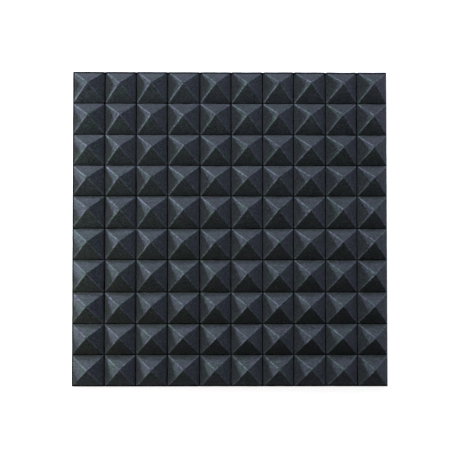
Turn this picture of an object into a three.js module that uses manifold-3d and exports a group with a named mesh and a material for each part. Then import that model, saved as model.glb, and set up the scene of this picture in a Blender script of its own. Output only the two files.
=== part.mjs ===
// Acoustic foam panel: a square tile of open-cell polyurethane foam, ten pyramids by ten, with a
// self-adhesive back. It lies on its back, pyramids up: +Z is the way the pyramids point, +Y is the
// top edge of the tile as it hangs on a wall, and the origin is the middle of its back.
// Lengths are in millimetres.

import * as THREE from 'three';
import { mergeVertices } from 'three/addons/utils/BufferGeometryUtils.js';
import Module from 'manifold-3d';

// The tile is a square grid of pyramids
const pyramidPitch = 50;
const pyramidsPerSide = 10;

// Heights of the foam, from its back to the groove floors and from there to the tips
const baseThickness = 14;
const pyramidHeight = 36;

// The groove between two pyramids: a deep, narrow slit, a little wider at its mouth
const grooveWidth = 1.2;
const grooveWallRun = 0.6;
const grooveWallHeight = 6;

// A pyramid's face stands a little proud of a straight slope and ends in a blunt tip: a small
// square that rises a little to its middle
const faceBulge = 1;
const tipWidth = 3.2;
const tipRise = 0.85;

// The self-adhesive back: one film over the whole foam, and a release liner split down the middle
const adhesiveThickness = 0.3;
const linerThickness = 0.15;
const linerSlit = 0.4;

// Straight steps that stand for the curve of each face
const curveSteps = 4;

const panelSide = pyramidPitch * pyramidsPerSide;
const halfSide = panelSide / 2;
const foamBack = linerThickness + adhesiveThickness;

const wasm = await Module();
wasm.setup();

// The edge that the wave cutter leaves: one hump for each pyramid, above a flat back
function waveShape() {
  const floor = foamBack + baseThickness;
  const top = floor + pyramidHeight;
  const shoulder = floor + grooveWallHeight;
  const tipEdge = top - tipRise;

  // How far from the middle of the groove the face starts and ends
  const footReach = grooveWidth / 2 + grooveWallRun;
  const tipReach = (pyramidPitch - tipWidth) / 2;

  // The face leans outwards, square to its chord. A quadratic curve passes halfway between its
  // chord and its control point, so the control point stands out by twice the bulge.
  const run = tipReach - footReach;
  const rise = tipEdge - shoulder;
  const outward = 2 * faceBulge / Math.hypot(run, rise);
  const controlReach = footReach + run / 2 - rise * outward;
  const controlHeight = shoulder + rise / 2 + run * outward;

  const shape = new THREE.Shape();
  shape.moveTo(-halfSide, foamBack);
  shape.lineTo(-halfSide, floor);
  for (let i = 0; i < pyramidsPerSide; i++) {
    const left = -halfSide + i * pyramidPitch;
    const right = left + pyramidPitch;
    shape.lineTo(left + grooveWidth / 2, floor);
    shape.lineTo(left + footReach, shoulder);
    shape.quadraticCurveTo(left + controlReach, controlHeight, left + tipReach, tipEdge);
    shape.lineTo((left + right) / 2, top);
    shape.lineTo(right - tipReach, tipEdge);
    shape.quadraticCurveTo(right - controlReach, controlHeight, right - footReach, shoulder);
    shape.lineTo(right - grooveWidth / 2, floor);
  }
  shape.lineTo(halfSide, floor);
  shape.lineTo(halfSide, foamBack);
  return shape;
}

// A bar of that section as long as the tile, laid along one side of it
function waveBar(shape, across, along) {
  const bar = new THREE.ExtrudeGeometry(shape, {
    depth: panelSide, bevelEnabled: false, curveSegments: curveSteps,
  });
  bar.translate(0, 0, -halfSide);
  bar.applyMatrix4(new THREE.Matrix4().makeBasis(across, new THREE.Vector3(0, 0, 1), along));
  return bar;
}

function toSolid(geometry) {
  geometry.deleteAttribute('normal');
  geometry.deleteAttribute('uv');
  const merged = mergeVertices(geometry);
  return new wasm.Manifold(new wasm.Mesh({
    numProp: 3,
    vertProperties: merged.attributes.position.array,
    triVerts: new Uint32Array(merged.index.array),
  }));
}

function toGeometry(solid) {
  const mesh = solid.getMesh();
  const geometry = new THREE.BufferGeometry();
  geometry.setAttribute('position', new THREE.BufferAttribute(mesh.vertProperties, 3));
  geometry.setIndex(new THREE.BufferAttribute(mesh.triVerts, 1));
  return geometry;
}

// The foam is cut twice with the same wave, once along each side of the tile, as it is in the
// factory. What both cuts leave are the pyramids, with their ridges where the two waves meet.
function foamGeometry() {
  const shape = waveShape();
  const x = new THREE.Vector3(1, 0, 0);
  const y = new THREE.Vector3(0, 1, 0);
  const alongY = toSolid(waveBar(shape, x, y.clone().negate()));
  const alongX = toSolid(waveBar(shape, y, x));
  return toGeometry(alongY.intersect(alongX));
}

// A flat sheet as long as the tile, with its back at its own height zero
function sheetGeometry(left, right, thickness) {
  const outline = new THREE.Shape();
  outline.moveTo(left, -halfSide);
  outline.lineTo(right, -halfSide);
  outline.lineTo(right, halfSide);
  outline.lineTo(left, halfSide);
  return new THREE.ExtrudeGeometry(outline, { depth: thickness, bevelEnabled: false });
}

const part = new THREE.Group();

function addPiece(name, geometry, color, roughness) {
  const material = new THREE.MeshStandardMaterial({ color, roughness, metalness: 0 });
  const mesh = new THREE.Mesh(geometry, material);
  mesh.name = name;
  part.add(mesh);
  return mesh;
}

addPiece('foam_panel', foamGeometry(), 0x3c4047, 1);

// The film covers the foam's whole back, in front of the liner
const film = addPiece('adhesive_film', sheetGeometry(-halfSide, halfSide, adhesiveThickness), 0xd8d0b8, 0.35);
film.position.z = linerThickness;

// Each half of the liner peels off by itself, starting at the slit
addPiece('release_liner_left', sheetGeometry(-halfSide, -linerSlit / 2, linerThickness), 0xe6e1d3, 0.6);
addPiece('release_liner_right', sheetGeometry(linerSlit / 2, halfSide, linerThickness), 0xe6e1d3, 0.6);

export default part;
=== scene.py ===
# %% [markdown]
# # An acoustic foam tile
# The real tile is one block of soft, open-cell foam with a sticky film and release paper on its
# back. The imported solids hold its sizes. This script loads them, models the foam again as it looks
# when it comes off the cutter, and gives each piece its finish. All lengths are in metres.

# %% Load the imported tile
import math
import random

import bmesh
import bpy
from mathutils import Matrix, Vector, noise


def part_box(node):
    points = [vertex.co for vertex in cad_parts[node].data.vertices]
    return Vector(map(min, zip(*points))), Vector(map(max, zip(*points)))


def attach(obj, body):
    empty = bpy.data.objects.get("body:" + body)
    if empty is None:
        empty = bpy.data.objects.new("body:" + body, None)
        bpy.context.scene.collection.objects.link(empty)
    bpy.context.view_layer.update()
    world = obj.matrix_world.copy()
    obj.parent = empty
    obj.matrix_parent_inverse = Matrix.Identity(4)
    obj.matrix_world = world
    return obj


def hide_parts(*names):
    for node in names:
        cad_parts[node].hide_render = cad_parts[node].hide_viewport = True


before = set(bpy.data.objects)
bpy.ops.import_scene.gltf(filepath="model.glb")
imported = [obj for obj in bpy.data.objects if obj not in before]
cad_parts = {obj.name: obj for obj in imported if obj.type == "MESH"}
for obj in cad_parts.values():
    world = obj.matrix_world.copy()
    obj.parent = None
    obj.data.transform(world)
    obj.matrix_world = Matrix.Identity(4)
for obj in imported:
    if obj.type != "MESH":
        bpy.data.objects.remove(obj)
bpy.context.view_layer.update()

MM = 0.001

# %% [markdown]
# The camera stands where the photographer stood: above the tile, which lies on its back, a little
# to the left of its middle and below it. Every tip leans away from the point under the camera, so
# most of them lean up in the picture. A long lens keeps the square outline nearly square. Tilting
# the camera alone would make the far edge look shorter, so part of the tilt is replaced by a small
# upward shift of the lens.

# %% Camera
CAMERA_PLACE = Vector((-0.029, -0.136, 1.964))
CAMERA_AIM = Vector((0.0, -0.068, 0.02))
LENS_MM = 96.2
LENS_SHIFT_UP = 0.09

camera = bpy.data.objects.new("camera", bpy.data.cameras.new("camera"))
camera.data.lens = LENS_MM
camera.data.shift_y = LENS_SHIFT_UP
ahead = (CAMERA_AIM - CAMERA_PLACE).normalized()
right = ahead.cross(Vector((0, 1, 0))).normalized()
camera.location = CAMERA_PLACE
camera.rotation_euler = Matrix((right, right.cross(ahead), -ahead)).transposed().to_euler()
bpy.context.scene.collection.objects.link(camera)
bpy.context.scene.camera = camera
print("camera stands", round((CAMERA_AIM - CAMERA_PLACE).length, 2), "m away")

# %% [markdown]
# Every pyramid has the same section, which the blade cut: a narrow groove floor, a short steep
# wall, a slightly bulging face and a blunt tip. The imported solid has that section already, so it
# is read off the ridge of the corner pyramid instead of being typed in a second time.

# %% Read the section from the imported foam
PYRAMIDS = 10
TOUCH = 0.01 * MM
foam_low, foam_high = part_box("foam_panel")
side = foam_high.x - foam_low.x
pitch = side / PYRAMIDS


def ridge_of_the_corner_pyramid():
    points = set()
    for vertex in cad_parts["foam_panel"].data.vertices:
        reach_x, reach_y = vertex.co.x - foam_low.x, vertex.co.y - foam_low.y
        on_ridge = abs(reach_x - reach_y) < TOUCH and reach_x < pitch / 2 + TOUCH
        if on_ridge and vertex.co.z > foam_low.z + TOUCH:
            points.add((round(reach_x, 6), round(vertex.co.z, 6)))
    return sorted(points)


section = ridge_of_the_corner_pyramid()
floor_height, mouth_height, tip_height = section[0][1], section[2][1], section[-1][1]
print("section, reach and height in mm:", [(round(r / MM, 2), round(h / MM, 2)) for r, h in section])

# %% [markdown]
# The waves of the real surface need points to move, so the section gets more of them than the
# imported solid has: one every couple of millimetres up each slope. A slope that is a hundredth of a
# step too long gets no extra point for it. The last point of the section is the tip, which is made
# in another way, so the rings end with the point before it.

# %% Points up the slope
RING_STEP = 2.3 * MM
ROUNDING_SHARE = 0.01


def closer_points(points, step):
    closer = [points[0]]
    for (r0, h0), (r1, h1) in zip(points, points[1:]):
        parts = max(1, math.ceil(math.hypot(r1 - r0, h1 - h0) / step - ROUNDING_SHARE))
        for i in range(1, parts + 1):
            closer.append((r0 + (r1 - r0) * i / parts, h0 + (h1 - h0) * i / parts))
    return closer


rings = closer_points(section[:-1], RING_STEP)
print(len(rings), "rings from the groove to the tip")

# %% [markdown]
# One pyramid is grown from a single square face, as a maker would stack shrinking squares: the
# top face is extruded, shrunk and raised for each point of the section, and the last one is poked
# up into the tip. The operator is given the face's edges as well, because only then does it take
# away the face that it has raised, and no sheet stays inside the foam. Only the very first face
# stays, at the foot, and it is deleted at the end, because the slab will carry the pyramid there.

# %% Grow one pyramid


def grow_pyramid(bm):
    bmesh.ops.create_grid(bm, x_segments=1, y_segments=1, size=pitch / 2)
    bmesh.ops.translate(bm, vec=(0, 0, rings[0][1]), verts=bm.verts[:])
    ground = bm.faces[:]
    top = ground
    for (r0, h0), (r1, h1) in zip(rings, rings[1:]):
        region = top + [edge for face in top for edge in face.edges]
        grown = bmesh.ops.extrude_face_region(bm, geom=region)["geom"]
        corners = [g for g in grown if isinstance(g, bmesh.types.BMVert)]
        shrink = (pitch / 2 - r1) / (pitch / 2 - r0)
        bmesh.ops.scale(bm, vec=(shrink, shrink, 1), verts=corners)
        bmesh.ops.translate(bm, vec=(0, 0, h1 - h0), verts=corners)
        top = [g for g in grown if isinstance(g, bmesh.types.BMFace)]
    bmesh.ops.poke(bm, faces=top, offset=tip_height - rings[-1][1])
    bmesh.ops.delete(bm, geom=ground, context="FACES_ONLY")


pyramid = bmesh.new()
grow_pyramid(pyramid)
print("one pyramid:", len(pyramid.faces), "faces, open edges:", sum(e.is_boundary for e in pyramid.edges))

# %% [markdown]
# A cut ridge is never knife sharp, because its edge crumbles when the tile is handled. Two cuts
# beside each ridge leave a narrow band along it, and the ridge's points are smoothed down into that
# band. The rings are also divided between the ridges, so that the faces can wave.

# %% Round the ridges
RIDGE_BAND = 0.8 * MM
RIDGE_SMOOTHING = 0.5
COLUMN_CUTS = 10


def band_the_ridges(bm):
    for across in (Vector((1, -1, 0)), Vector((1, 1, 0))):
        for hand in (-1, 1):
            bmesh.ops.bisect_plane(
                bm, geom=bm.verts[:] + bm.edges[:] + bm.faces[:], dist=TOUCH / 10,
                plane_co=hand * RIDGE_BAND * across.normalized(), plane_no=across,
            )


def is_level_and_long(edge):
    a, b = edge.verts
    level = abs(a.co.z - b.co.z) < TOUCH
    straight = min(abs(a.co.x - b.co.x), abs(a.co.y - b.co.y)) < TOUCH
    beside = all(abs(abs(v.co.x) - abs(v.co.y)) > TOUCH for v in (a, b))
    return level and straight and beside


def is_on_ridge(vertex):
    reach = max(abs(vertex.co.x), abs(vertex.co.y))
    on_diagonal = abs(abs(vertex.co.x) - abs(vertex.co.y)) < TOUCH
    return on_diagonal and reach < pitch / 2 - rings[1][0] - TOUCH


band_the_ridges(pyramid)
bmesh.ops.subdivide_edges(
    pyramid, edges=[e for e in pyramid.edges if is_level_and_long(e)], cuts=COLUMN_CUTS, use_grid_fill=True,
)
bmesh.ops.smooth_vert(
    pyramid, verts=[v for v in pyramid.verts if is_on_ridge(v)],
    factor=RIDGE_SMOOTHING, use_axis_x=True, use_axis_y=True, use_axis_z=True,
)
triangles = sum(len(face.verts) - 2 for face in pyramid.faces)
print("rounded pyramid:", len(pyramid.faces), "faces,", triangles, "triangles")

# %% [markdown]
# The tile is a hundred of them. Copies are merged where they share a groove, and the open border
# is drawn down to the back and closed, which makes the flat-sided slab that carries them.
# Each point's place at this moment, before anything is bent, is kept in an attribute called plan.
# The materials use it to find the ridges and grooves, however the foam is bent afterwards.

# %% A hundred pyramids on a slab
SIDE_STEPS = 6


def lay_pyramids(bm):
    first = bm.verts[:] + bm.edges[:] + bm.faces[:]
    for row in range(PYRAMIDS):
        for column in range(PYRAMIDS):
            copy = bmesh.ops.duplicate(bm, geom=first)["geom"]
            copied = [g for g in copy if isinstance(g, bmesh.types.BMVert)]
            place = Vector((foam_low.x + (column + 0.5) * pitch, foam_low.y + (row + 0.5) * pitch, 0))
            bmesh.ops.translate(bm, vec=place, verts=copied)
    bmesh.ops.delete(bm, geom=[g for g in first if isinstance(g, bmesh.types.BMVert)], context="VERTS")
    bmesh.ops.remove_doubles(bm, verts=bm.verts[:], dist=TOUCH)


def draw_sides_down(bm):
    rim = [e for e in bm.edges if e.is_boundary]
    drop = (floor_height - foam_low.z) / SIDE_STEPS
    for _ in range(SIDE_STEPS):
        grown = bmesh.ops.extrude_edge_only(bm, edges=rim)["geom"]
        lowered = [g for g in grown if isinstance(g, bmesh.types.BMVert)]
        bmesh.ops.translate(bm, vec=(0, 0, -drop), verts=lowered)
        rim = [g for g in grown if isinstance(g, bmesh.types.BMEdge) and g.is_boundary]
    bmesh.ops.holes_fill(bm, edges=rim, sides=0)
    bmesh.ops.recalc_face_normals(bm, faces=bm.faces[:])


lay_pyramids(pyramid)
draw_sides_down(pyramid)
tile = pyramid
plan = tile.verts.layers.float_vector.new("plan")
for vertex in tile.verts:
    vertex[plan] = vertex.co
faulty = sum(not edge.is_manifold for edge in tile.edges)
print("tile:", len(tile.verts), "points, edges without two faces:", faulty)
print("the slab's sides reach down to", round(min(v.co.z for v in tile.verts) / MM, 2), "mm")

# %% [markdown]
# The tile was sawn from a wide sheet after the pyramids had been cut, and the saw ran a little to
# the left of the cuts, so the first column is wider than the last. Foam is soft and the blade
# drags it, so no two pyramids come out alike. The cuts wander, and the tips are drawn a little
# towards the top edge, the way of the blade, and each leans and ends a little short in its own way.
# A seeded generator draws all of these. The seed was picked from many because its cuts fall close
# to those in the photograph. Blender's vector of noise, which will roughen the ridges, is given the
# same seed. Without one it starts from the clock, and no two runs would give the same foam.

# %% Draw where the cuts and the tips went
SEED = 498219
SAWN_OFF = 2.3 * MM
CUT_WANDER = 0.88 * MM
FARTHEST_WANDER = 2.0
TIP_DRAG = 2.6 * MM
TIP_LEAN = 0.5 * MM
TIP_SHORT = 0.7 * MM

draw = random.Random(SEED)
noise.seed_set(SEED)


def wander(sawn_off):
    shares = [max(-FARTHEST_WANDER, min(FARTHEST_WANDER, draw.gauss(0, 1))) for _ in range(PYRAMIDS - 1)]
    return [0.0, *(sawn_off + share * CUT_WANDER for share in shares), 0.0]


def tip_move():
    return Vector((
        draw.gauss(0, 1) * TIP_LEAN,
        TIP_DRAG + draw.gauss(0, 1) * TIP_LEAN,
        -draw.random() * TIP_SHORT,
    ))


cuts_x, cuts_y = wander(SAWN_OFF), wander(0.0)
tips = [[tip_move() for _ in range(PYRAMIDS)] for _ in range(PYRAMIDS)]
print("cuts across x are off by", [round(cut / MM, 1) for cut in cuts_x], "mm")
print("cuts across y are off by", [round(cut / MM, 1) for cut in cuts_y], "mm")

# %% [markdown]
# The tile is bent by small moves, each with its own size, that are added to every point. First come
# the cuts. What lies between two cuts is taken along with both, more by the nearer one, and the
# whole pattern also waves a little, as foam does when it is pushed past a blade. A noise makes the
# wave. It is read in two places, once for the move along x and once for the move along y.

# %% Take everything along with the cuts
CUT_WAVE = 0.35 * MM
CUT_WAVE_LENGTH = 90 * MM
ELSEWHERE_IN_THE_NOISE = Vector((9, 4, 0))


def cell_at(along):
    return min(PYRAMIDS - 1, max(0, int(along / pitch)))


def between_cuts(cuts, along):
    cell = cell_at(along)
    share = along / pitch - cell
    return cuts[cell] * (1 - share) + cuts[cell + 1] * share


def cut_wave(place):
    wave_place = place / CUT_WAVE_LENGTH
    return CUT_WAVE * Vector((noise.noise(wave_place), noise.noise(wave_place + ELSEWHERE_IN_THE_NOISE), 0))


middle = (foam_low + foam_high) / 2
print("the wave moves the middle by", [round(v / MM, 2) for v in cut_wave(middle)[:2]], "mm")

# %% [markdown]
# The slits along X are cut first, and the second cut squeezes them partly shut. So the two walls of
# such a slit lean towards each other, most of all at its mouth. The squeeze is full where a face
# looks along Y. It falls off with a high power round the corner, so the other two faces of a
# pyramid keep their place.

# %% Squeeze the slits along X
SLIT_PINCH = 0.45 * MM
SLIT_PINCH_REACH = 6 * MM
ROUND_THE_CORNER_POWER = 4


def slit_squeeze(height, off_x, off_y):
    near_mouth = max(0.0, 1 - abs(height - mouth_height) / SLIT_PINCH_REACH)
    squareness = abs(off_y) / max(abs(off_x), abs(off_y), TOUCH)
    return math.copysign(SLIT_PINCH * near_mouth * squareness ** ROUND_THE_CORNER_POWER, off_y)


print("slits along x are narrower by", round(2 * slit_squeeze(mouth_height, 0, pitch / 2) / MM, 2), "mm")

# %% [markdown]
# Last, the tips lean, and a point moves the more the higher it lies. The faces wave and ripple
# along their normals, and the ridges are ragged. The wave of the cuts fades out towards the tile's
# edges, which the saw left straight. The back stays flat, because the film is bonded to it, and no
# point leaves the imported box.

# %% Bend the tile
FACE_WAVE = 0.35 * MM
FACE_WAVE_LENGTH = 17 * MM
FACE_RIPPLE = 0.12 * MM
FACE_RIPPLE_LENGTH = 5 * MM
RIDGE_RAG = 0.14 * MM
RIDGE_RAG_LENGTH = 2.6 * MM


def bent(place, normal):
    along_x, along_y = place.x - foam_low.x, place.y - foam_low.y
    column, row = cell_at(along_x), cell_at(along_y)
    off_x, off_y = along_x - (column + 0.5) * pitch, along_y - (row + 0.5) * pitch
    to_edge = min(along_x, along_y, side - along_x, side - along_y)
    inside = min(1.0, max(0.0, to_edge / (pitch / 2)))
    up = max(0.0, (place.z - floor_height) / (tip_height - floor_height))

    move = Vector((between_cuts(cuts_x, along_x), between_cuts(cuts_y, along_y), 0))
    move += inside * cut_wave(place)
    move += up * up * tips[row][column]
    move += FACE_WAVE * noise.noise(place / FACE_WAVE_LENGTH) * normal
    move += FACE_RIPPLE * noise.noise(place / FACE_RIPPLE_LENGTH) * normal
    move.y += slit_squeeze(place.z, off_x, off_y)
    if abs(abs(off_x) - abs(off_y)) < TOUCH and 0 < up:
        move += RIDGE_RAG * noise.noise_vector(place / RIDGE_RAG_LENGTH)
    return move


tile.normal_update()
moves = [bent(v.co, v.normal) if v.co.z > foam_low.z + TOUCH else Vector() for v in tile.verts]
for vertex, move in zip(tile.verts, moves):
    moved = vertex.co + move
    vertex.co = [max(low, min(high, c)) for c, low, high in zip(moved, foam_low, foam_high)]
print("largest move:", round(max(move.length for move in moves) / MM, 2), "mm")

# %% [markdown]
# Light rolls softly over foam, so its faces are shaded smooth. Only the slab's corners and the rim of its
# back are cut square, and stay sharp. The finished mesh rides on the part's one body and takes the imported
# foam's place.

# %% Make the foam piece
EDGE_ANGLE = math.radians(60)


def new_object(name, bm):
    mesh = bpy.data.meshes.new(name)
    bm.to_mesh(mesh)
    bm.free()
    made = bpy.data.objects.new(name, mesh)
    bpy.context.scene.collection.objects.link(made)
    return made


for face in tile.faces:
    face.smooth = True
for edge in tile.edges:
    low_edge = all(v.co.z < floor_height - TOUCH for v in edge.verts)
    edge.smooth = not (low_edge and edge.calc_face_angle(0) > EDGE_ANGLE)
foam = new_object("pyramid_foam", tile)
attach(foam, "root")
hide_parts("foam_panel")
print("foam:", sum(len(p.vertices) - 2 for p in foam.data.polygons), "triangles")

# %% [markdown]
# Colours are picked as sRGB hex values and turned to the linear values that the shader works in.
# One helper adds a shader node with its settings and its links. The settings and links could be
# typed node by node, but a finish is easier to read when each of its nodes is one call.

# %% Helpers for the finishes


def linear(hex_colour):
    values = [int(hex_colour[i:i + 2], 16) / 255 for i in (1, 3, 5)]
    return [v / 12.92 if v <= 0.04045 else ((v + 0.055) / 1.055) ** 2.4 for v in values] + [1.0]


def new_material(name):
    material = bpy.data.materials.new(name)
    material.use_nodes = True
    return material, material.node_tree.nodes["Principled BSDF"]


def add(owner, kind, links=None, **settings):
    """Adds a node to a material or to the world.

    Each link is socket: output. A setting is one of the node's properties, or in_ and then the
    name or the number of a socket.
    """
    node = owner.node_tree.nodes.new(kind)
    for name, value in settings.items():
        if name.startswith("in_"):
            key = name[3:].replace("_", " ")
            node.inputs[int(key) if key.isdigit() else key].default_value = value
        else:
            setattr(node, name, value)
    for socket, output in (links or {}).items():
        owner.node_tree.links.new(output, node.inputs[socket])
    return node


# %% [markdown]
# Charcoal polyurethane foam is dyed right through, and its surface is nothing but cut cells: tiny
# pits that swallow light and torn struts that catch it. So it has no gloss at all, but a faint
# bright fuzz at a low angle. A Voronoi pattern gives one patch to each cell: its distance is the
# depth of the pit, and its colour is a random number, because each pit faces its own way. The
# real cells are about 0.8 mm across. Here they are twice that, so that a picture of the whole
# tile still shows some of their grain.

# %% Foam finish: the cut cells
CELL_SIZE = 1.7 * MM
GRAIN_SIZE, CLOUD_SIZE, PATCH_SIZE = 4.0 * MM, 60 * MM, 15 * MM

foam_finish, shader = new_material("cut_open_cell_polyurethane_foam")
place = add(foam_finish, "ShaderNodeTexCoord").outputs["Object"]
cells = add(foam_finish, "ShaderNodeTexVoronoi", {"Vector": place}, in_Scale=1 / CELL_SIZE, feature="F1")
pit, cell_colour = cells.outputs["Distance"], cells.outputs["Color"]
cell_value = add(foam_finish, "ShaderNodeSeparateXYZ", {0: cell_colour}).outputs[0]
grain, cloud, patch = (
    add(foam_finish, "ShaderNodeTexNoise", {"Vector": place}, in_Scale=1 / size, in_Detail=detail).outputs[0]
    for size, detail in ((GRAIN_SIZE, 3.0), (CLOUD_SIZE, 2.0), (PATCH_SIZE, 2.0))
)
print("foam cells are drawn", round(CELL_SIZE / MM, 1), "mm wide")

# %% [markdown]
# The dye isn't quite even: patches as wide as a finger lean to violet or to green. The brightness changes
# from cell to cell, in grains of a few cells, and very slightly in clouds as wide as a pyramid. Painted shade
# also darkens each cell towards the bottom of its pit and leaves its rim lighter. The four are multiplied.

# %% Foam finish: dye, speckle and painted pit shade
FOAM_VIOLET, FOAM_GREEN = "#3f4048", "#394341"

patch = add(foam_finish, "ShaderNodeMapRange", {"Value": patch}, in_1=0.35, in_2=0.65).outputs[0]
dye = add(
    foam_finish, "ShaderNodeMixRGB", {0: patch}, in_1=linear(FOAM_VIOLET), in_2=linear(FOAM_GREEN),
).outputs[0]
by_cell = add(foam_finish, "ShaderNodeMapRange", {"Value": cell_value}, in_3=0.5, in_4=1.5)
by_grain = add(foam_finish, "ShaderNodeMapRange", {"Value": grain}, in_1=0.3, in_2=0.7, in_3=0.68, in_4=1.32)
# painted shade: darker towards the bottom of each pit, lighter at its rim
by_pit_shade = add(foam_finish, "ShaderNodeMapRange", {"Value": pit}, in_1=0.1, in_2=0.7, in_3=0.75, in_4=1.15)
by_cloud = add(foam_finish, "ShaderNodeMapRange", {"Value": cloud}, in_1=0.3, in_2=0.7, in_3=0.92, in_4=1.08)
speckle_and_pit_shade = by_cell.outputs[0]
for change in (by_grain, by_pit_shade, by_cloud):
    speckle_and_pit_shade = add(
        foam_finish, "ShaderNodeMath", {0: speckle_and_pit_shade, 1: change.outputs[0]}, operation="MULTIPLY",
    ).outputs[0]
print("dye between", FOAM_VIOLET, "and", FOAM_GREEN)

# %% [markdown]
# Where a ridge or a tip has been rubbed, the torn struts stand up and look paler. On top of that, a painted
# highlight runs along every ridge and tip, as if they caught the light. The attribute called plan tells how
# far a point is from the nearest ridge: inside one pyramid's square, the ridges are where the distances from
# its middle along x and along y are equal.

# %% Foam finish: the rubbed ridges and their painted highlight
WORN_AND_LIT_WIDTH = 2.6 * MM
WORN_AND_LIT_PALER = 1.4

kept_plan = add(foam_finish, "ShaderNodeAttribute", attribute_name="plan").outputs["Vector"]
in_cells = add(foam_finish, "ShaderNodeVectorMath", {0: kept_plan}, operation="SCALE", in_Scale=1 / pitch)
part_cell = add(foam_finish, "ShaderNodeVectorMath", {0: in_cells.outputs[0]}, operation="FRACTION")
from_tip = add(
    foam_finish, "ShaderNodeVectorMath", {0: part_cell.outputs[0]}, operation="SUBTRACT", in_1=(0.5, 0.5, 0),
)
reach = add(foam_finish, "ShaderNodeVectorMath", {0: from_tip.outputs[0]}, operation="ABSOLUTE")
reach_x, reach_y, _ = add(foam_finish, "ShaderNodeSeparateXYZ", {0: reach.outputs[0]}).outputs
off_ridge = add(foam_finish, "ShaderNodeMath", {0: reach_x, 1: reach_y}, operation="SUBTRACT").outputs[0]
ridge_gap = add(foam_finish, "ShaderNodeMath", {0: off_ridge}, operation="ABSOLUTE").outputs[0]
# paler rubbed struts plus a painted highlight along every ridge and tip
ridge_wear_and_highlight = add(
    foam_finish, "ShaderNodeMapRange", {"Value": ridge_gap}, interpolation_type="SMOOTHSTEP",
    in_1=0.0, in_2=WORN_AND_LIT_WIDTH / pitch, in_3=WORN_AND_LIT_PALER, in_4=0.0,
).outputs[0]
frayed = add(foam_finish, "ShaderNodeMapRange", {"Value": grain}, in_1=0.3, in_2=0.6, in_3=0.75, in_4=1.05)
worn_and_highlit = add(
    foam_finish, "ShaderNodeMath", {0: ridge_wear_and_highlight, 1: frayed.outputs[0]}, operation="MULTIPLY",
).outputs[0]
worn_and_highlit = add(foam_finish, "ShaderNodeMath", {0: worn_and_highlit}, operation="ADD", in_1=1.0).outputs[0]
print("rubbed ridges:", round(WORN_AND_LIT_WIDTH / MM, 1), "mm to each side")

# %% [markdown]
# The plan also tells how high a point was. The slits between the pyramids are cut deeper than they are wide,
# and little of the light that falls in comes out again, so painted shade darkens the foam below their mouths.
# It is deeper in some stretches than in others, with the clouds. The slab's sides lie lower still, below the
# slits, and get none of this painted shade.

# %% Foam finish: painted shade in the slits
SLIT_SHADE_DEEP, SLIT_SHADE_LIGHT = 0.2, 0.6
SLIT_FADE = 0.7 * MM
SIDE_FADE = 1.0 * MM

height = add(foam_finish, "ShaderNodeSeparateXYZ", {0: kept_plan}).outputs["Z"]
slit = add(
    foam_finish, "ShaderNodeMapRange", {"Value": cloud}, in_1=0.4, in_2=0.6, in_3=SLIT_SHADE_DEEP, in_4=SLIT_SHADE_LIGHT,
)
# painted shade below the slit mouths, its depth set by the clouds
slit_painted_shade = add(
    foam_finish, "ShaderNodeMapRange", {"Value": height, "To Min": slit.outputs[0]},
    in_1=mouth_height - SLIT_FADE, in_2=mouth_height + SLIT_FADE, in_4=1.0,
).outputs[0]
on_side = add(
    foam_finish, "ShaderNodeMapRange", {"Value": height},
    in_1=floor_height - SIDE_FADE, in_2=floor_height - SIDE_FADE / 4, in_3=1.0, in_4=0.0,
).outputs[0]
print("slits are dark below", round(mouth_height / MM, 2), "mm")

# %% [markdown]
# Painted shade runs as a nearly black strip along three of the tile's edges, left, top and bottom, and the
# fuzz is turned down there too. The right edge gets none. The distance to the nearest of these three edges,
# again from the plan, says where. The strip is wider at the top, because the camera sees it foreshortened
# there and it should still show as a full line.

# %% Foam finish: painted shade along three edges
EDGE_SHADE_WIDTH = 2.8 * MM
EDGE_SHADE_FADE = 1.0 * MM
EDGE_SHADE_MORE_AT_TOP = 1.6 * MM
EDGE_SHADE_DARK = 0.12

from_low = add(foam_finish, "ShaderNodeVectorMath", {0: kept_plan}, operation="SUBTRACT", in_1=foam_low)
from_left, from_bottom, _ = add(foam_finish, "ShaderNodeSeparateXYZ", {0: from_low.outputs[0]}).outputs
from_top = add(
    foam_finish, "ShaderNodeMath", {1: from_bottom}, operation="SUBTRACT", in_0=side - EDGE_SHADE_MORE_AT_TOP,
).outputs[0]
to_edge = from_left
for distance in (from_bottom, from_top):
    to_edge = add(foam_finish, "ShaderNodeMath", {0: to_edge, 1: distance}, operation="MINIMUM").outputs[0]
# painted shade strip along the left, top and bottom edges
painted_edge_shade = add(
    foam_finish, "ShaderNodeMapRange", {"Value": to_edge}, interpolation_type="SMOOTHSTEP",
    in_1=EDGE_SHADE_WIDTH, in_2=EDGE_SHADE_WIDTH + EDGE_SHADE_FADE, in_3=EDGE_SHADE_DARK, in_4=1.0,
).outputs[0]
# painted shade of the slits and of the three edges, none on the slab's sides
dark = add(foam_finish, "ShaderNodeMath", {0: slit_painted_shade, 1: painted_edge_shade}, operation="MULTIPLY").outputs[0]
dark = add(foam_finish, "ShaderNodeMath", {0: dark, 1: on_side}, operation="MAXIMUM").outputs[0]
print("pinched edges are black for", round(EDGE_SHADE_WIDTH / MM, 1), "mm")

# %% [markdown]
# Dye, speckle, the rubbed ridges with their painted highlight, and the painted shade of the pits, the slits
# and the three edges are multiplied into the colour. The pits are also a bump, half a millimetre deep, and
# the fuzz is the shader's sheen.

# %% Foam finish: put it together
PIT_DEPTH = 0.5 * MM
FUZZ = 0.15

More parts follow.
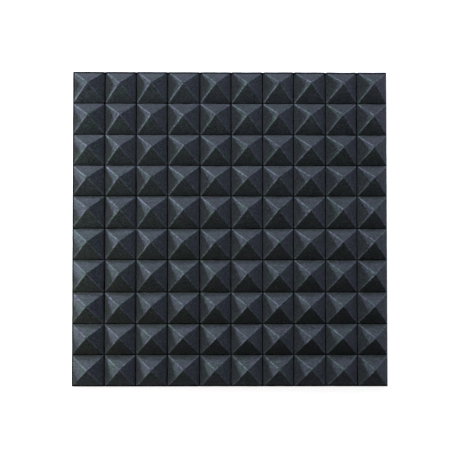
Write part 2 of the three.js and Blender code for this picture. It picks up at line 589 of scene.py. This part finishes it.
shade = add(foam_finish, "ShaderNodeMath", {0: speckle_and_pit_shade, 1: worn_and_highlit}, operation="MULTIPLY").outputs[0]
shade = add(foam_finish, "ShaderNodeMath", {0: shade, 1: dark}, operation="MULTIPLY").outputs[0]
colour = add(foam_finish, "ShaderNodeVectorMath", {0: dye, "Scale": shade}, operation="SCALE").outputs[0]
bumps = add(foam_finish, "ShaderNodeBump", {"Height": pit}, in_Strength=0.8, in_Distance=PIT_DEPTH).outputs[0]
fuzz = add(foam_finish, "ShaderNodeMath", {0: painted_edge_shade}, operation="MULTIPLY", in_1=FUZZ).outputs[0]
for output, socket in ((colour, "Base Color"), (fuzz, "Sheen Weight"), (bumps, "Normal")):
    foam_finish.node_tree.links.new(output, shader.inputs[socket])
shader.inputs["Roughness"].default_value = 1.0
shader.inputs["Specular IOR Level"].default_value = 0.1
shader.inputs["Sheen Roughness"].default_value = 0.6
foam.data.materials.append(foam_finish)
print("foam finish:", len(foam_finish.node_tree.nodes), "nodes")

# %% [markdown]
# Between the foam and the paper is a film of acrylic glue, 0.3 mm thick. It only shows as a line at
# the edge and in the slit of the paper: honey coloured, glossy, and dimpled where the foam's cells
# press into it, with a small air bubble here and there.

# %% Adhesive film finish
DIMPLE_SIZE = 2.2 * MM
DIMPLE_DEPTH = 0.1 * MM
BUBBLE_SIZE = 9 * MM
GLUE_PALE, GLUE_DEEP, GLUE_OVER_AIR = "#d5c8a2", "#bfae7f", "#e6dfc9"

film_finish, shader = new_material("acrylic_adhesive_film")
place = add(film_finish, "ShaderNodeTexCoord").outputs["Object"]
dimples = add(
    film_finish, "ShaderNodeTexNoise", {"Vector": place}, in_Scale=1 / DIMPLE_SIZE, in_Detail=2.0,
).outputs[0]
bubbles = add(film_finish, "ShaderNodeTexVoronoi", {"Vector": place}, in_Scale=1 / BUBBLE_SIZE)
bubble = add(
    film_finish, "ShaderNodeMapRange", {"Value": bubbles.outputs["Distance"]},
    in_1=0.08, in_2=0.12, in_3=1.0, in_4=0.0,
)
glue = add(film_finish, "ShaderNodeMixRGB", {0: dimples}, in_1=linear(GLUE_PALE), in_2=linear(GLUE_DEEP))
glue = add(
    film_finish, "ShaderNodeMixRGB", {0: bubble.outputs[0], 1: glue.outputs[0]}, in_2=linear(GLUE_OVER_AIR),
)
gloss = add(film_finish, "ShaderNodeMapRange", {"Value": dimples}, in_1=0.3, in_2=0.7, in_3=0.2, in_4=0.4)
skin = add(film_finish, "ShaderNodeBump", {"Height": dimples}, in_Strength=0.4, in_Distance=DIMPLE_DEPTH)
for node, socket in ((glue, "Base Color"), (gloss, "Roughness"), (skin, "Normal")):
    film_finish.node_tree.links.new(node.outputs[0], shader.inputs[socket])
print("adhesive film:", len(film_finish.node_tree.nodes), "nodes")

# %% [markdown]
# The release paper is thin kraft paper, bleached, and coated with silicone so that it lets go of
# the glue. Paper is never even: held to the light it is cloudy, and its fibres lie mostly along
# the web, here along Y. A noise stretched along Y gives the fibres and a wide one the clouds. The
# coating makes it satin, a little glossier where the paper is dense.

# %% Release paper finish
FIBRE_WIDTH, FIBRE_LENGTH = 0.9 * MM, 7 * MM
FIBRE_DEPTH = 0.05 * MM
PAPER_CLOUD = 22 * MM
LINER_PALE, LINER_DEEP = "#e9e3d4", "#d6ccb6"

liner_finish, shader = new_material("siliconised_release_paper")
place = add(liner_finish, "ShaderNodeTexCoord").outputs["Object"]
web = (1 / FIBRE_WIDTH, 1 / FIBRE_LENGTH, 1 / FIBRE_WIDTH)
along_web = add(liner_finish, "ShaderNodeVectorMath", {0: place}, operation="MULTIPLY", in_1=web)
fibres = add(
    liner_finish, "ShaderNodeTexNoise", {"Vector": along_web.outputs[0]}, in_Scale=1.0, in_Detail=4.0,
).outputs[0]
clouds = add(
    liner_finish, "ShaderNodeTexNoise", {"Vector": place}, in_Scale=1 / PAPER_CLOUD, in_Detail=3.0,
).outputs[0]
dense = add(liner_finish, "ShaderNodeMath", {0: fibres, 1: clouds}, operation="ADD").outputs[0]
dense = add(liner_finish, "ShaderNodeMapRange", {"Value": dense}, in_1=0.75, in_2=1.25).outputs[0]
sheet = add(liner_finish, "ShaderNodeMixRGB", {0: dense}, in_1=linear(LINER_PALE), in_2=linear(LINER_DEEP))
satin = add(liner_finish, "ShaderNodeMapRange", {"Value": dense}, in_3=0.55, in_4=0.38)
tooth = add(liner_finish, "ShaderNodeBump", {"Height": fibres}, in_Strength=0.35, in_Distance=FIBRE_DEPTH)
for node, socket in ((sheet, "Base Color"), (satin, "Roughness"), (tooth, "Normal")):
    liner_finish.node_tree.links.new(node.outputs[0], shader.inputs[socket])
print("release paper:", len(liner_finish.node_tree.nodes), "nodes")

# %% [markdown]
# The film and the two halves of the liner are flat sheets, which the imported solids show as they
# are. They don't need new meshes, only their finishes in place of the plain packed ones.

# %% Put the back's finishes on
for name, finish in (
    ("adhesive_film", film_finish),
    ("release_liner_left", liner_finish),
    ("release_liner_right", liner_finish),
):
    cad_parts[name].material_slots[0].material = finish
print("finishes on the back:", film_finish.name, "and", liner_finish.name)

# %% [markdown]
# The tile lies on plain white paper. The lamps make it white, except where the tile's own shadow
# falls, and in the photograph that shadow has all but gone. So the paper also glows, but only for
# rays that come from the camera, straight or by way of a gloss or a clear piece. The rays that
# light things don't see the glow, so it lights nothing, and a trace of the shadow stays.

# %% White paper floor
FLOOR_SIZE = 12.0
FLOOR_DROP = 0.1 * MM
PAPER = "#f4f4f4"
PAPER_GLOW = 0.93


def seen_by_camera(owner):
    rays = add(owner, "ShaderNodeLightPath").outputs
    seen = rays["Is Camera Ray"]
    for ray in ("Is Glossy Ray", "Is Transmission Ray"):
        seen = add(owner, "ShaderNodeMath", {0: seen, 1: rays[ray]}, operation="MAXIMUM").outputs[0]
    return seen


floor_bm = bmesh.new()
bmesh.ops.create_grid(floor_bm, x_segments=1, y_segments=1, size=FLOOR_SIZE / 2)
bmesh.ops.translate(floor_bm, vec=(0, 0, -FLOOR_DROP), verts=floor_bm.verts[:])
floor = new_object("paper_floor", floor_bm)

paper, shader = new_material("white_paper")
shader.inputs["Base Color"].default_value = linear(PAPER)
shader.inputs["Roughness"].default_value = 1.0
shader.inputs["Specular IOR Level"].default_value = 0.0
shader.inputs["Emission Color"].default_value = (1, 1, 1, 1)
glow = add(paper, "ShaderNodeMath", {0: seen_by_camera(paper)}, operation="MULTIPLY", in_1=PAPER_GLOW)
paper.node_tree.links.new(glow.outputs[0], shader.inputs["Emission Strength"])
floor.data.materials.append(paper)
print("paper floor:", FLOOR_SIZE, "m wide")

# %% [markdown]
# The world is white for the same rays, so nothing dark shows past the edge of the paper. For the
# rays that light things it is almost black, because in the photograph the lamps do all the work
# and the dark faces are really dark. The Standard view keeps the colours as they were picked.

# %% World
WORLD_FILL = 0.01

scene = bpy.context.scene
scene.view_settings.view_transform = "Standard"
world = bpy.data.worlds.new("white_studio")
scene.world = world
world.use_nodes = True
background = world.node_tree.nodes["Background"]
background.inputs["Color"].default_value = (1, 1, 1, 1)
strength = add(world, "ShaderNodeMath", {0: seen_by_camera(world)}, operation="MAXIMUM", in_1=WORLD_FILL)
world.node_tree.links.new(strength.outputs[0], background.inputs["Strength"])
print("world lights with", WORLD_FILL, "of its white")

# %% [markdown]
# Two small lamps stand low on the left, side by side, so that every pyramid throws a sharp-edged
# shadow over the foot of the next one. Most of the light comes from two large soft panels beyond
# the far edge, which light the faces towards them and leave the near faces dark. A small panel
# close to the left edge, towards its near end, lifts what is next to it, and a weak one low on the
# right lifts the outermost faces there. Each lamp is placed by its compass angle round the tile,
# counted from +X, its height angle and its distance from the tile's middle, at which it looks.

# %% Lamps


def lamp(name, compass, height, distance, size, power, colour):
    data = bpy.data.lights.new(name, "AREA")
    data.color = linear(colour)[:3]
    data.shape = "DISK"
    data.size = size
    data.energy = power
    compass, height = math.radians(compass), math.radians(height)
    level = distance * math.cos(height)
    place = Vector((level * math.cos(compass), level * math.sin(compass), distance * math.sin(height)))
    lamp_object = bpy.data.objects.new(name, data)
    lamp_object.location = place + Vector((0, 0, tip_height))
    lamp_object.rotation_euler = (-place).to_track_quat("-Z", "Y").to_euler()
    scene.collection.objects.link(lamp_object)
    print(name, "shines with", power, "W from", distance, "m")


lamp("low_lamp", compass=165, height=9, distance=1.25, size=0.075, power=12.6, colour="#e0e6ff")
lamp("second_low_lamp", compass=176, height=9, distance=1.25, size=0.075, power=6.1, colour="#e9fcff")
lamp("near_panel", compass=200, height=20, distance=0.5, size=0.25, power=0.36, colour="#fbffe8")
lamp("low_right_panel", compass=0, height=11, distance=1.25, size=0.5, power=1.2, colour="#f4f2ff")
lamp("far_left_panel", compass=120, height=50, distance=2.5, size=1.25, power=30.0, colour="#f1f8ff")
lamp("far_right_panel", compass=60, height=35, distance=2.5, size=1.25, power=20.5, colour="#cbd2ff")

# %% [markdown]
# The low lamps would light the first column's outer faces from foot to tip, while each of the
# others stands in the shadow of its left neighbour. In the photograph no column stands out like
# that. So a black card stands where the next tile's tips would be, cut to the same zigzag. A grid
# one strip wide is stood up for it: its right edge becomes the zigzag, and its left edge stays
# level with the groove floors. The camera doesn't see it.

# %% Black card on the left
CARD_BLACK = "#101010"

card_bm = bmesh.new()
bmesh.ops.create_grid(card_bm, x_segments=1, y_segments=2 * PYRAMIDS, size=side / 2)
for vertex in card_bm.verts:
    half_pitches = round((vertex.co.y - foam_low.y) / (pitch / 2))
    top = tip_height if half_pitches % 2 else mouth_height
    vertex.co = (foam_low.x - pitch / 2, vertex.co.y, top if vertex.co.x > 0 else floor_height)
card = new_object("black_card", card_bm)
card.visible_camera = False
black, shader = new_material("black_card")
shader.inputs["Base Color"].default_value = linear(CARD_BLACK)
shader.inputs["Roughness"].default_value = 1.0
card.data.materials.append(black)
print("card stands", round((foam_low.x - card.data.vertices[0].co.x) / MM), "mm beside the tile")
